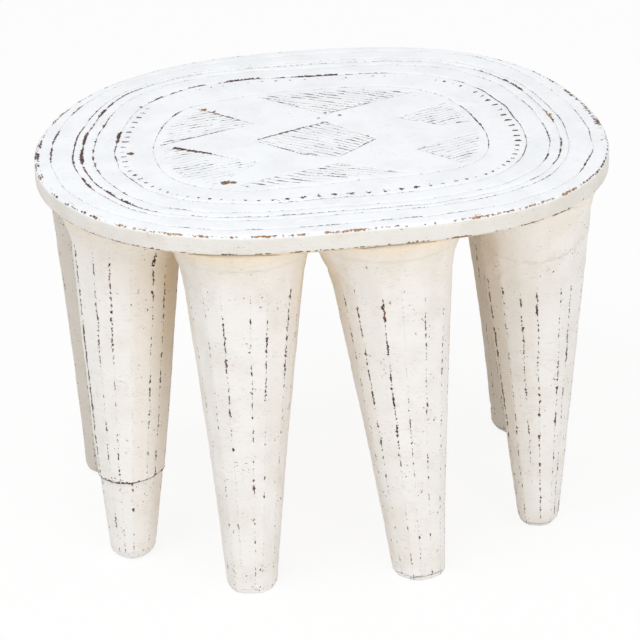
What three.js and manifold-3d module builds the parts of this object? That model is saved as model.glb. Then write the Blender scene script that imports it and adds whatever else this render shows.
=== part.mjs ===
// Carved wooden stool: an oval slab seat on eight tapering legs cut with an adze.
// Millimetres, +Z up. The origin is on the floor, under the middle of the seat, and +X runs along it.
import * as THREE from 'three';
import { mergeVertices } from 'three/addons/utils/BufferGeometryUtils.js';
import Module from 'manifold-3d';

// Seat slab
const stoolHeight = 314;
const seatLength = 464; // long way of the ellipse, before its bulges
const seatWidth = 402;
const slabThickness = 24; // over the legs
const rimHeight = 16; // the upright edge
const rimRound = 3; // worn top edge
const lowerRound = 2; // worn lower edge
const undercutWidth = 18; // slope from the rim's lower edge in to the flat underside
// Bulges square the ellipse up and make it uneven: how many go round, their height, and where one is.
const bulges = [
  { count: 4, height: 6.3, at: -43 },
  { count: 3, height: 4.5, at: -35 },
  { count: 5, height: 1.2, at: -31 },
];

// Legs, in their order round the seat.
// rootAt and footAt: places round the oval, in degrees from +X. The insets run from the rim to the leg.
// taper: under 1 swells the shaft in the middle, over 1 slims it.
// arch: the one to the next leg. It starts and closes that far under the slab, and this leg fills the
// share called mine of the gap between them.
const legs = [
  {
    name: 'left_front_leg', rootAt: -160.9, footAt: -152.6, rootInset: 15, footInset: 18,
    rootRadius: 46, footRadius: 18.8, taper: 0.82, flare: 5, footRound: 9, twist: 3,
    arch: { starts: 42, closes: 16, mine: 0.5 },
  },
  {
    name: 'front_left_leg', rootAt: -115.1, footAt: -115.3, rootInset: 15, footInset: 13,
    rootRadius: 52, footRadius: 21, taper: 1.13, flare: 5, footRound: 4, twist: -2,
    arch: { starts: 42, closes: 12, mine: 0.2 },
  },
  {
    name: 'front_right_leg', rootAt: -78, footAt: -74, rootInset: 15, footInset: 14,
    rootRadius: 53, footRadius: 21.5, taper: 1.13, flare: 5, footRound: 4, twist: 4,
    arch: { starts: 34, closes: 8, mine: 0.5 },
  },
  {
    name: 'right_front_leg', rootAt: -17.6, footAt: -29.6, rootInset: 11, footInset: 34,
    rootRadius: 50, footRadius: 17, taper: 0.99, flare: 5, footRound: 8, twist: -4,
    arch: { starts: 54, closes: 26, mine: 0.5 },
  },
  {
    name: 'right_back_leg', rootAt: 18.5, footAt: 25.5, rootInset: 10, footInset: 11,
    rootRadius: 46, footRadius: 22.5, taper: 1.5, flare: 4, footRound: 8, twist: 3,
    arch: { starts: 44, closes: 12, mine: 0.5 },
  },
  {
    name: 'back_right_leg', rootAt: 70.8, footAt: 67, rootInset: 15, footInset: 13,
    rootRadius: 50, footRadius: 21.5, taper: 1.1, flare: 5, footRound: 5, twist: -3,
    arch: { starts: 56, closes: 20, mine: 0.4 },
  },
  {
    name: 'back_left_leg', rootAt: 109.1, footAt: 107.5, rootInset: 15, footInset: 13,
    rootRadius: 50, footRadius: 21.5, taper: 1.1, flare: 5, footRound: 5, twist: 2,
    arch: { starts: 48, closes: 14, mine: 0.5 },
  },
  {
    name: 'left_back_leg', rootAt: 170, footAt: 159, rootInset: 4, footInset: 7.5,
    rootRadius: 44, footRadius: 22.5, taper: 1.2, flare: 2, footRound: 7, twist: -3,
    arch: { starts: 56, closes: 30, mine: 0.5 },
  },
];
const facetCount = 16; // adze-cut faces round a leg
const facetSpread = 3.2; // degrees that an arris strays from even spacing
const arrisStray = 0.6; // how far an arris stands proud or shy
const flareHeight = 26; // the root widens all round over this height under the slab
const rootHeight = 80; // the arches between roots lie within this height under the slab
const archWidth = 5; // the higher, the narrower the webs beside an arch
const archFull = 1.7; // how far past meeting its neighbour a web grows at the slab
const smoothBand = 34; // under the slab the facets fade into a round root over this height
const footSteps = 3; // rings over the rounded foot edge
const shaftSteps = 4; // rings up the shaft
const rootSteps = 7; // rings up the root
const rootBunch = 1.5; // over 1 brings those rings closer together towards the slab

// Joints
const clearance = 0.3; // between seated faces, and round tenons and the dowel
const rootGap = 0.6; // between two neighbouring roots where their flares meet
const tenonRadius = 20;
const tenonLength = 14;
const splicedLeg = 'left_front_leg'; // its foot has been replaced
const spliceHeight = 72;
const spliceTilt = 3.5; // degrees, up towards +X
const spliceStep = 1.2; // the new foot is that much slimmer
const dowelRadius = 6;
const dowelLength = 50;
const roundSides = 16;
const rimSides = 96;

const wasm = await Module();
wasm.setup();

const underside = stoolHeight - slabThickness;
const rad = THREE.MathUtils.degToRad;

// A closed geometry as a solid, and back again.
function solid(geometry) {
  const bare = geometry.clone();
  bare.deleteAttribute('normal');
  bare.deleteAttribute('uv');
  const merged = mergeVertices(bare, 1e-4);
  return new wasm.Manifold(new wasm.Mesh({
    numProp: 3,
    vertProperties: new Float32Array(merged.attributes.position.array),
    triVerts: new Uint32Array(merged.index.array),
  }));
}

function geometryOf(body) {
  const { vertProperties, triVerts } = body.getMesh();
  const geometry = new THREE.BufferGeometry();
  geometry.setAttribute('position', new THREE.BufferAttribute(vertProperties, 3));
  geometry.setIndex(new THREE.BufferAttribute(triVerts, 1));
  geometry.computeVertexNormals();
  return geometry;
}

// A skin over rings of equal count, lowest first, closed with a fan at each end.
function loft(rings) {
  const count = rings[0].length;
  const points = rings.flat();
  const index = [];
  for (let level = 0; level < rings.length - 1; level++) {
    for (let i = 0; i < count; i++) {
      const a = level * count + i;
      const b = level * count + (i + 1) % count;
      index.push(a, b, b + count, a, b + count, a + count);
    }
  }
  const middleOf = (ring) => ring.reduce((sum, p) => sum.add(p), new THREE.Vector3()).divideScalar(count);
  const bottom = points.push(middleOf(rings[0])) - 1;
  const top = points.push(middleOf(rings.at(-1))) - 1;
  const lastRing = (rings.length - 1) * count;
  for (let i = 0; i < count; i++) {
    const next = (i + 1) % count;
    index.push(bottom, next, i, top, lastRing + i, lastRing + next);
  }
  const geometry = new THREE.BufferGeometry().setFromPoints(points);
  geometry.setIndex(index);
  return geometry;
}

// The oval's edge at an angle from +X, before it is centred.
function roughRim(angle) {
  let reach = 1 / Math.hypot(Math.cos(angle) / (seatLength / 2), Math.sin(angle) / (seatWidth / 2));
  for (const { count, height, at } of bulges) reach += height * Math.cos(count * (angle - rad(at)));
  return new THREE.Vector3(reach * Math.cos(angle), reach * Math.sin(angle), 0);
}

const rimAngles = Array.from({ length: rimSides }, (_, i) => i / rimSides * 2 * Math.PI);
const rimMiddle = new THREE.Box3().setFromPoints(rimAngles.map(roughRim)).getCenter(new THREE.Vector3());

// A point set in from the centred rim, square to it.
function insetPoint(angle, inset, z = 0) {
  const step = 0.01;
  const inward = roughRim(angle + step).sub(roughRim(angle - step)).normalize();
  inward.set(-inward.y, inward.x, 0);
  return roughRim(angle).sub(rimMiddle).addScaledVector(inward, inset).setZ(z);
}

// The slab: flat underside, slope out to the rim, upright edge with worn corners, flat top.
function slabGeometry() {
  const lowerEdge = stoolHeight - rimHeight;
  const corner = rimRound * (1 - Math.SQRT1_2); // halfway round the worn top edge
  const profile = [
    { inset: undercutWidth, z: underside },
    { inset: lowerRound, z: lowerEdge },
    { inset: 0, z: lowerEdge + lowerRound },
    { inset: 0, z: stoolHeight - rimRound },
    { inset: corner, z: stoolHeight - corner },
    { inset: rimRound, z: stoolHeight },
  ];
  return loft(profile.map(({ inset, z }) => rimAngles.map((angle) => insetPoint(angle, inset, z))));
}

// A leg's centre at a height, on the straight line from its foot to its root.
function legCentre(leg, z) {
  const foot = insetPoint(rad(leg.footAt), leg.footInset + leg.footRadius);
  const root = insetPoint(rad(leg.rootAt), leg.rootInset + leg.rootRadius);
  return foot.lerp(root, z / underside).setZ(z);
}

// The shaft's radius at a height, without the flare and the rounded foot edge.
function shaftRadius(leg, z) {
  return leg.footRadius + (leg.rootRadius - leg.footRadius) * Math.max(z / underside, 0) ** leg.taper;
}

function legRadius(leg, z) {
  const up = Math.max((z - (underside - flareHeight)) / flareHeight, 0);
  const down = Math.max(1 - z / leg.footRound, 0);
  const wornOff = leg.footRound * (1 - Math.sqrt(1 - down * down));
  return shaftRadius(leg, z) + leg.flare * up * up - wornOff;
}

// An arris's turn round the leg and its reach, at a height. Its own number and its leg's make it stray.
function arris(leg, number, z, slimmer) {
  const seed = legs.indexOf(leg);
  const stray = facetSpread * Math.sin(2.6 * (number % facetCount) + 1.9 * seed) + leg.twist * z / underside;
  return {
    turn: number / facetCount * 2 * Math.PI + rad(stray),
    reach: legRadius(leg, z) - slimmer + arrisStray * Math.sin(4.3 * (number % facetCount) + 2.7 * seed),
  };
}

// The plane where a leg meets another at a height, and the web that grows towards it under the slab.
function facingPlane(leg, other, z) {
  const away = legCentre(other, z).sub(legCentre(leg, z));
  const own = shaftRadius(leg, z);
  const gap = away.length() - own - shaftRadius(other, z);
  const next = legs[(legs.indexOf(leg) + 1) % legs.length];
  const previous = legs.at(legs.indexOf(leg) - 1);
  const arch = { [next.name]: leg.arch, [previous.name]: previous.arch }[other.name];
  const mine = arch ? (other === next ? arch.mine : 1 - arch.mine) : 0.5;
  const up = arch ? Math.max((z - (underside - arch.starts)) / (arch.starts - arch.closes), 0) : 0;
  const web = Math.max(gap, 0) * mine * Math.min(up * up, archFull);
  return { turn: Math.atan2(away.y, away.x), reach: own + gap * mine - rootGap / 2, web };
}

// One level of a leg: its arrises and the middles of the facets between them, held off the other roots.
function legRing(leg, z, slimmer) {
  const centre = legCentre(leg, z);
  const round = THREE.MathUtils.smoothstep(z, underside - smoothBand, underside);
  const planes = legs.filter((other) => other !== leg).map((other) => facingPlane(leg, other, z));
  const ring = [];
  for (let number = 0; number < facetCount; number++) {
    const here = arris(leg, number, z, slimmer);
    const next = arris(leg, number + 1, z, slimmer);
    const flat = Math.cos((next.turn - here.turn) / 2);
    const middle = {
      turn: (here.turn + next.turn) / 2,
      reach: (here.reach + next.reach) / 2 * THREE.MathUtils.lerp(flat, 1, round),
    };
    for (let { turn, reach } of [here, middle]) {
      const facing = planes.map((plane) => Math.max(Math.cos(turn - plane.turn), 1e-6));
      planes.forEach((plane, i) => { reach += plane.web * facing[i] ** archWidth; });
      planes.forEach((plane, i) => { reach = Math.min(reach, plane.reach / facing[i]); });
      ring.push(new THREE.Vector3(Math.cos(turn), Math.sin(turn), 0).multiplyScalar(reach).add(centre));
    }
  }
  return ring;
}

// The leg's outside from the floor up into the slab's undercut.
function shaftGeometry(leg, slimmer = 0) {
  const rootStart = underside - rootHeight;
  const levels = [];
  for (let i = 0; i < footSteps; i++) levels.push(leg.footRound * (1 - Math.cos(i / footSteps * Math.PI / 2)));
  for (let i = 0; i < shaftSteps; i++) levels.push(THREE.MathUtils.lerp(leg.footRound, rootStart, i / shaftSteps));
  for (let i = 0; i <= rootSteps; i++) {
    levels.push(underside - rootHeight * (1 - i / rootSteps) ** rootBunch);
  }
  levels.push(stoolHeight - rimHeight);
  return loft(levels.map((z) => legRing(leg, z, slimmer)));
}

// An upright round bar between two heights, under the given centre.
function upright(centre, radius, from, to) {
  return new THREE.CylinderGeometry(radius, radius, to - from, roundSides)
    .rotateX(Math.PI / 2)
    .translate(centre.x, centre.y, (from + to) / 2);
}

// The splice's dowel, or the hole round it, along the leg's own lean.
function dowelGeometry(radius, length) {
  return new THREE.CylinderGeometry(radius, radius, length, roundSides).rotateX(Math.PI / 2);
}

const splice = legs.find(({ name }) => name === splicedLeg);
const spliceCentre = legCentre(splice, spliceHeight);
const spliceLean = new THREE.Quaternion().setFromUnitVectors(
  new THREE.Vector3(0, 0, 1),
  legCentre(splice, underside).sub(legCentre(splice, 0)).normalize(),
);

// Everything on one side of the splice's sloping cut: 1 is above it, -1 below.
function spliceSide(side) {
  const size = stoolHeight;
  return solid(new THREE.BoxGeometry(size, size, size)
    .translate(0, 0, side * (size + clearance) / 2)
    .rotateY(-rad(spliceTilt))
    .translate(spliceCentre.x, spliceCentre.y, spliceHeight));
}

const dowelHole = solid(dowelGeometry(dowelRadius + clearance, dowelLength + 2 * clearance)
  .applyQuaternion(spliceLean)
  .translate(spliceCentre.x, spliceCentre.y, spliceHeight));

const slab = solid(slabGeometry());
const slabSeat = slab.translate([0, 0, -clearance]); // what a leg's shoulder is cut to

function legSolid(leg) {
  const root = legCentre(leg, underside);
  const tenon = solid(upright(root, tenonRadius, underside - tenonLength, underside + tenonLength));
  const body = solid(shaftGeometry(leg)).subtract(slabSeat).add(tenon);
  return leg === splice ? body.intersect(spliceSide(1)).subtract(dowelHole) : body;
}

function seatSolid() {
  return legs.reduce((body, leg) => {
    const root = legCentre(leg, underside);
    const top = underside + tenonLength + clearance;
    return body.subtract(solid(upright(root, tenonRadius + clearance, underside - tenonLength, top)));
  }, slab);
}

function footSolid() {
  return solid(shaftGeometry(splice, spliceStep)).intersect(spliceSide(-1)).subtract(dowelHole);
}

const seatPaint = new THREE.MeshStandardMaterial({ color: 0xf3f5f8, roughness: 0.72, metalness: 0 });
const legPaint = new THREE.MeshStandardMaterial({ color: 0xebe6de, roughness: 0.78, metalness: 0 });
const footPaint = new THREE.MeshStandardMaterial({ color: 0xe6e0d6, roughness: 0.8, metalness: 0 });
const bareWood = new THREE.MeshStandardMaterial({ color: 0x8a6240, roughness: 0.85, metalness: 0 });

function place(name, geometry, material, position = new THREE.Vector3()) {
  const mesh = new THREE.Mesh(geometry, material);
  mesh.name = name;
  mesh.position.copy(position);
  return mesh;
}

const stool = new THREE.Group();
stool.add(place('seat', geometryOf(seatSolid()), seatPaint));

const legSet = new THREE.Group();
for (const leg of legs) {
  const foot = legCentre(leg, 0);
  const own = geometryOf(legSolid(leg)).translate(-foot.x, -foot.y, 0);
  legSet.add(place(leg.name, own, legPaint, foot));
}
stool.add(legSet);

const splicedFoot = new THREE.Group();
const footCentre = legCentre(splice, 0);
const footOwn = geometryOf(footSolid()).translate(-footCentre.x, -footCentre.y, 0);
splicedFoot.add(place('spliced_foot', footOwn, footPaint, footCentre));
const dowel = place('splice_dowel', dowelGeometry(dowelRadius, dowelLength), bareWood, spliceCentre);
dowel.quaternion.copy(spliceLean);
splicedFoot.add(dowel);
stool.add(splicedFoot);

export default stool;
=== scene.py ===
# Carved oval stool in worn white paint: a seat with cut rings and lozenges, on eight faceted legs.
import math

import bmesh
import bpy
import numpy as np
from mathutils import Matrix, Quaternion, Vector, kdtree, noise


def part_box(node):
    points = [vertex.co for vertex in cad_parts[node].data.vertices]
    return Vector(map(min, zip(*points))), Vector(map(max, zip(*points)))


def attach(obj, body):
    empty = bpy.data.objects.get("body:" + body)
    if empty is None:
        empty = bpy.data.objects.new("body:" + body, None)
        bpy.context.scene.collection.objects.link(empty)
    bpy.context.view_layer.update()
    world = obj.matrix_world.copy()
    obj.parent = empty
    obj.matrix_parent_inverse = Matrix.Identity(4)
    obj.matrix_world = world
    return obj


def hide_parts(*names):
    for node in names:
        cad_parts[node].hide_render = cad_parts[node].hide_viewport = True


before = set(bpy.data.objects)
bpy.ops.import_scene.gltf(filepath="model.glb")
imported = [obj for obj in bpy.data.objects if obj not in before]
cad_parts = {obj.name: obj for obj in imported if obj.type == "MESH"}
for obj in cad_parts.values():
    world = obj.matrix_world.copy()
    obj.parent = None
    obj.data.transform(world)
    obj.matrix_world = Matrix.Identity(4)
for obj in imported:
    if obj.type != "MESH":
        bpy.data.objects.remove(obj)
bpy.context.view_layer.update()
mm = 0.001


def srgb(red, green, blue):  # a listed colour, as the shader wants it
    channels = [c / 255 for c in (red, green, blue)]
    return [c / 12.92 if c <= 0.04045 else ((c + 0.055) / 1.055) ** 2.4 for c in channels] + [1]


# Camera, lamps and floor

view = {
    "azimuth": -5.39,  # degrees round the stool from its front
    "elevation": 25.04,
    "roll": -2.09,
    "distance": 2.736,
    "target": (-0.0008, 0.0282, 0.1375),
    "lens": 186.3,
}
light = {
    "sky": 0.69,  # the even light from all round
    "skyColour": (1.0, 0.995, 0.985, 1),
    "key": {"place": (-0.9, -0.9, 2.6), "size": 1.6, "power": 23, "colour": (0.96, 0.98, 1.0)},
    "fill": {"place": (1.2, -2.6, 1.1), "size": 1.8, "power": 17, "colour": (1.0, 0.99, 0.975)},
    "floorColour": srgb(253, 253, 253),
    "floorWhite": 0.88,  # how far the camera sees plain white in place of the lit floor
    "floorSize": 8.0,
}


def placeCamera():
    around, up = math.radians(view["azimuth"]), math.radians(view["elevation"])
    back = Vector((math.sin(around) * math.cos(up), -math.cos(around) * math.cos(up), math.sin(up)))
    camera = bpy.data.objects.new("camera", bpy.data.cameras.new("camera"))
    camera.data.lens = view["lens"]
    camera.data.clip_end = 50
    camera.location = Vector(view["target"]) + back * view["distance"]
    camera.rotation_mode = "QUATERNION"
    turn = Quaternion((0, 0, 1), math.radians(view["roll"]))
    camera.rotation_quaternion = (-back).to_track_quat("-Z", "Y") @ turn
    bpy.context.scene.collection.objects.link(camera)
    bpy.context.scene.camera = camera


def placeLamp(name):
    lamp = light[name]
    data = bpy.data.lights.new(name, "AREA")
    data.shape = "DISK"
    data.size = lamp["size"]
    data.energy = lamp["power"]
    data.color = lamp["colour"]
    thing = bpy.data.objects.new(name, data)
    thing.location = lamp["place"]
    thing.rotation_mode = "QUATERNION"
    thing.rotation_quaternion = (Vector((0, 0, 0.15)) - Vector(lamp["place"])).to_track_quat("-Z", "Y")
    bpy.context.scene.collection.objects.link(thing)


def seenDirectly(tree):  # by the camera, or mirrored in something
    path = tree.nodes.new("ShaderNodeLightPath").outputs
    either = mathNode(tree, "MAXIMUM", path["Is Camera Ray"], path["Is Glossy Ray"])
    return mathNode(tree, "MAXIMUM", either, path["Is Transmission Ray"])


def makeSky():
    world = bpy.data.worlds.new("sky")
    bpy.context.scene.world = world
    world.use_nodes = True
    tree = world.node_tree
    tree.nodes.clear()
    lit = tree.nodes.new("ShaderNodeBackground")
    lit.inputs["Color"].default_value = light["skyColour"]
    lit.inputs["Strength"].default_value = light["sky"]
    seen = tree.nodes.new("ShaderNodeBackground")
    seen.inputs["Color"].default_value = (1, 1, 1, 1)
    seen.inputs["Strength"].default_value = 1
    mix = tree.nodes.new("ShaderNodeMixShader")
    tree.links.new(seenDirectly(tree), mix.inputs[0])
    tree.links.new(lit.outputs[0], mix.inputs[1])
    tree.links.new(seen.outputs[0], mix.inputs[2])
    out = tree.nodes.new("ShaderNodeOutputWorld")
    tree.links.new(mix.outputs[0], out.inputs[0])


def makeFloor():
    bm = bmesh.new()
    bmesh.ops.create_grid(bm, x_segments=1, y_segments=1, size=light["floorSize"])
    floor = newObject("floor", bm)
    material, shader = newMaterial("floor")
    shader.inputs["Base Color"].default_value = light["floorColour"]
    shader.inputs["Roughness"].default_value = 0.9
    shader.inputs["Specular IOR Level"].default_value = 0
    tree = material.node_tree
    white = tree.nodes.new("ShaderNodeEmission")
    mix = tree.nodes.new("ShaderNodeMixShader")
    tree.links.new(mathNode(tree, "MULTIPLY", seenDirectly(tree), light["floorWhite"]), mix.inputs[0])
    tree.links.new(shader.outputs[0], mix.inputs[1])
    tree.links.new(white.outputs[0], mix.inputs[2])
    tree.links.new(mix.outputs[0], tree.nodes["Material Output"].inputs[0])
    floor.data.materials.append(material)


# Small tools for meshes

def newObject(name, bm):
    mesh = bpy.data.meshes.new(name)
    bm.to_mesh(mesh)
    bm.free()
    thing = bpy.data.objects.new(name, mesh)
    bpy.context.scene.collection.objects.link(thing)
    mesh.shade_smooth()
    return thing


def nodeMesh(name):  # a merged copy of a CAD node's mesh
    bm = bmesh.new()
    bm.from_mesh(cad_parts[name].data)
    bmesh.ops.remove_doubles(bm, verts=bm.verts, dist=0.002 * mm)
    return bm


def pointsOf(bm):  # vertex places in mm
    return np.array([v.co for v in bm.verts]) / mm


def normalsOf(bm):
    bm.normal_update()
    return np.array([v.normal for v in bm.verts])


def movePoints(bm, points):
    for v, p in zip(bm.verts, points * mm):
        v.co = p


def keepValues(mesh, values):  # one number for each vertex, read by the materials
    for name, numbers in values.items():
        mesh.attributes.new(name, "FLOAT", "POINT").data.foreach_set("value", numbers.astype(np.float32))


def splitEdges(bm, edges):
    bmesh.ops.subdivide_edges(bm, edges=edges, cuts=1, use_grid_fill=True)
    bmesh.ops.triangulate(bm, faces=[f for f in bm.faces if len(f.verts) > 3])
    removeTwins(bm)


def removeTwins(bm):  # two faces on the same three corners hold nothing between them
    seen = {}
    twins = []
    for face in bm.faces:
        corners = frozenset(face.verts)
        if corners in seen:
            twins += [face, seen.pop(corners)]
        else:
            seen[corners] = face
    bmesh.ops.delete(bm, geom=twins, context="FACES")


def bumps(points, size, seed):  # smooth noise from -1 to 1, with bumps about size mm apart
    shift = Vector((seed, seed * 0.37, -seed))
    return np.array([noise.noise(Vector(p) / size + shift) for p in points])


def ease(x, start, end):  # a smooth step from 0 at start to 1 at end
    t = np.clip((x - start) / (end - start), 0, 1)
    return t * t * (3 - 2 * t)


def groove(distance, half):  # a cut's depth across it, from 1 in its middle to 0 at its edges
    return np.clip(1 - np.abs(distance) / half, 0, 1) ** 1.3


# Shader node tools

def mathNode(tree, operation, *values):
    node = tree.nodes.new("ShaderNodeMath")
    node.operation = operation
    for socket, value in zip(node.inputs, values):
        if isinstance(value, (int, float)):
            socket.default_value = value
        else:
            tree.links.new(value, socket)
    return node.outputs[0]


def rampNode(tree, value, low, high, kind="SMOOTHSTEP"):  # 0 below low, 1 above high
    node = tree.nodes.new("ShaderNodeMapRange")
    node.interpolation_type = kind
    tree.links.new(value, node.inputs["Value"])
    node.inputs["From Min"].default_value = low
    node.inputs["From Max"].default_value = high
    return node.outputs["Result"]


def noiseNode(tree, vector, scale, detail=2.0, roughness=0.5):
    node = tree.nodes.new("ShaderNodeTexNoise")
    tree.links.new(vector, node.inputs["Vector"])
    node.inputs["Scale"].default_value = scale
    node.inputs["Detail"].default_value = detail
    node.inputs["Roughness"].default_value = roughness
    return node.outputs["Fac"]


def stretchNode(tree, vector, scale):
    node = tree.nodes.new("ShaderNodeMapping")
    tree.links.new(vector, node.inputs["Vector"])
    node.inputs["Scale"].default_value = scale
    return node.outputs["Vector"]


def mixNode(tree, factor, first, second):
    node = tree.nodes.new("ShaderNodeMix")
    node.data_type = "RGBA"
    tree.links.new(factor, node.inputs["Factor"])
    for socket, value in ((node.inputs[6], first), (node.inputs[7], second)):
        if isinstance(value, (list, tuple)):
            socket.default_value = value
        else:
            tree.links.new(value, socket)
    return node.outputs[2]


def attributeNode(tree, name):
    node = tree.nodes.new("ShaderNodeAttribute")
    node.attribute_name = name
    return node.outputs["Fac"]


def newGroup(name, inputs, outputs):
    tree = bpy.data.node_groups.new(name, "ShaderNodeTree")
    kinds = {"value": "NodeSocketFloat", "colour": "NodeSocketColor", "vector": "NodeSocketVector"}
    for label, kind in inputs.items():
        tree.interface.new_socket(name=label, in_out="INPUT", socket_type=kinds[kind])
    for label, kind in outputs.items():
        tree.interface.new_socket(name=label, in_out="OUTPUT", socket_type=kinds[kind])
    return tree, tree.nodes.new("NodeGroupInput").outputs, tree.nodes.new("NodeGroupOutput").inputs


def useGroup(tree, group, **values):
    node = tree.nodes.new("ShaderNodeGroup")
    node.node_tree = group
    for label, value in values.items():
        if isinstance(value, (int, float, list, tuple)):
            node.inputs[label].default_value = value
        else:
            tree.links.new(value, node.inputs[label])
    return node.outputs


def newMaterial(name):
    material = bpy.data.materials.new(name)
    material.use_nodes = True
    tree = material.node_tree
    tree.nodes.clear()
    shader = tree.nodes.new("ShaderNodeBsdfPrincipled")
    out = tree.nodes.new("ShaderNodeOutputMaterial")
    tree.links.new(shader.outputs[0], out.inputs[0])
    return material, shader


def placeNode(tree):
    return tree.nodes.new("ShaderNodeTexCoord").outputs["Object"]


# Effects that several materials share

# A pair is a noise's scale, in waves per metre, and how much it counts.
wornLine = {
    "long": (85, 1.7),  # long stretches that are worn or whole
    "short": (330, 3.2),
    "whole": 2.45,  # what the two must pass before any paint is gone
    "fine": (1300, 0.8),  # raggedness of a stroke's edge, in mm
    "coarse": (480, 3.1),  # the same, as a share of its half width
    "soft": 0.14,
    "crackHalf": 0.3,
}
chipping = {"spots": 520, "clusters": (60, 0.4), "whole": 0.98, "bare": 1.02}
oldWood = {"grain": (900, 900, 110), "dark": 0.42, "rubbed": 0.66}


def weighedNoise(tree, place, pair, detail, roughness=0.5):
    return mathNode(tree, "MULTIPLY", noiseNode(tree, place, pair[0], detail, roughness), pair[1])


def raggedNoise(tree, place, pair, detail):  # the same, but as much below zero as above
    noiseValue = mathNode(tree, "SUBTRACT", noiseNode(tree, place, pair[0], detail), 0.5)
    return mathNode(tree, "MULTIPLY", noiseValue, pair[1])


def wornLineGroup():  # where paint is gone along a line: broken strokes that swell and taper
    inputs = {"Place": "vector", "Distance": "value", "Wear": "value", "Width": "value", "Crack": "value"}
    tree, given, out = newGroup("wornLine", inputs, {"Mask": "value"})
    place, off = given["Place"], given["Distance"]
    long = weighedNoise(tree, place, wornLine["long"], 1)
    short = weighedNoise(tree, place, wornLine["short"], 2, 0.6)
    strength = mathNode(tree, "SUBTRACT", mathNode(tree, "ADD", long, short), wornLine["whole"])
    strength = mathNode(tree, "ADD", strength, given["Wear"])
    strength = mathNode(tree, "MINIMUM", mathNode(tree, "MAXIMUM", strength, 0.0), 1.0)
    half = mathNode(tree, "MULTIPLY", strength, given["Width"])
    fine = raggedNoise(tree, place, wornLine["fine"], 1)
    coarse = mathNode(tree, "MULTIPLY", raggedNoise(tree, place, wornLine["coarse"], 2), half)
    ragged = mathNode(tree, "ADD", mathNode(tree, "ADD", off, fine), coarse)
    stroke = rampNode(tree, mathNode(tree, "SUBTRACT", half, ragged), 0.0, wornLine["soft"])
    kept = mathNode(tree, "MULTIPLY_ADD", given["Wear"], 0.3, noiseNode(tree, place, 150, 3, 0.6))
    crack = mathNode(tree, "MULTIPLY", rampNode(tree, kept, 0.42, 0.58), given["Crack"])
    thin = rampNode(tree, mathNode(tree, "SUBTRACT", wornLine["crackHalf"], off), 0.0, 0.25)
    tree.links.new(mathNode(tree, "MAXIMUM", stroke, mathNode(tree, "MULTIPLY", crack, thin)), out["Mask"])
    return tree


def chipsGroup():  # small spots where paint has flaked off, in loose clusters
    tree, given, out = newGroup("chips", {"Place": "vector", "Amount": "value"}, {"Mask": "value"})
    spots = noiseNode(tree, given["Place"], chipping["spots"], 2, 0.6)
    clusters = weighedNoise(tree, given["Place"], chipping["clusters"], 1)
    level = mathNode(tree, "ADD", mathNode(tree, "ADD", spots, clusters), given["Amount"])
    tree.links.new(rampNode(tree, level, chipping["whole"], chipping["bare"]), out["Mask"])
    return tree


def woodGroup():  # the old dark wood under the paint, lighter where it was rubbed
    inputs = {"Place": "vector", "Dark": "colour", "Rubbed": "colour"}
    tree, given, out = newGroup("oldWood", inputs, {"Color": "colour"})
    grain = noiseNode(tree, stretchNode(tree, given["Place"], oldWood["grain"]), 1, 3)
    rubbed = rampNode(tree, grain, oldWood["dark"], oldWood["rubbed"])
    tree.links.new(mixNode(tree, rubbed, given["Dark"], given["Rubbed"]), out["Color"])
    return tree


def paintGroup():  # brushed paint, yellowed where it is sheltered, with painted warm shade there too
    inputs = {"Place": "vector", "Fresh": "colour", "Dull": "colour", "Aged": "colour", "Deep": "colour",
              "Scuff": "colour", "Shelter": "value", "Scuffed": "value"}
    tree, given, out = newGroup("brushedPaint", inputs, {"Color": "colour"})
    cloud = rampNode(tree, noiseNode(tree, given["Place"], 34, 3), 0.38, 0.68)
    colour = mixNode(tree, cloud, given["Fresh"], given["Dull"])
    uneven = mathNode(tree, "MULTIPLY", noiseNode(tree, given["Place"], 26, 2), 0.7)
    # sheltered places get yellowed paint and painted warm shade; the most sheltered get a stronger painted
    # shade
    shadeAndAge = mathNode(tree, "MULTIPLY", given["Shelter"], mathNode(tree, "ADD", uneven, 0.95))
    colour = mixNode(tree, mathNode(tree, "MINIMUM", shadeAndAge, 1.0), colour, given["Aged"])
    colour = mixNode(tree, rampNode(tree, shadeAndAge, 0.5, 1.25), colour, given["Deep"])
    level = noiseNode(tree, stretchNode(tree, given["Place"], (230, 230, 620)), 1, 4, 0.7)
    patches = noiseNode(tree, given["Place"], 70, 2)
    level = mathNode(tree, "ADD", level, mathNode(tree, "MULTIPLY", patches, 0.35))
    scuffed = mathNode(tree, "MULTIPLY", rampNode(tree, level, 0.7, 0.95), given["Scuffed"])
    tree.links.new(mixNode(tree, scuffed, colour, given["Scuff"]), out["Color"])
    return tree


def brushGroup():  # the height of brush marks and of grain that shows through the paint
    inputs = {"Place": "vector", "Strokes": "value", "Lumps": "value"}
    tree, given, out = newGroup("brushMarks", inputs, {"Height": "value"})
    across = noiseNode(tree, stretchNode(tree, given["Place"], (50, 50, 560)), 1, 4, 0.6)
    lumps = noiseNode(tree, given["Place"], 420, 4, 0.65)
    height = mathNode(tree, "MULTIPLY", across, given["Strokes"])
    height = mathNode(tree, "ADD", height, mathNode(tree, "MULTIPLY", lumps, given["Lumps"]))
    tree.links.new(height, out["Height"])
    return tree


# Materials

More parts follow.
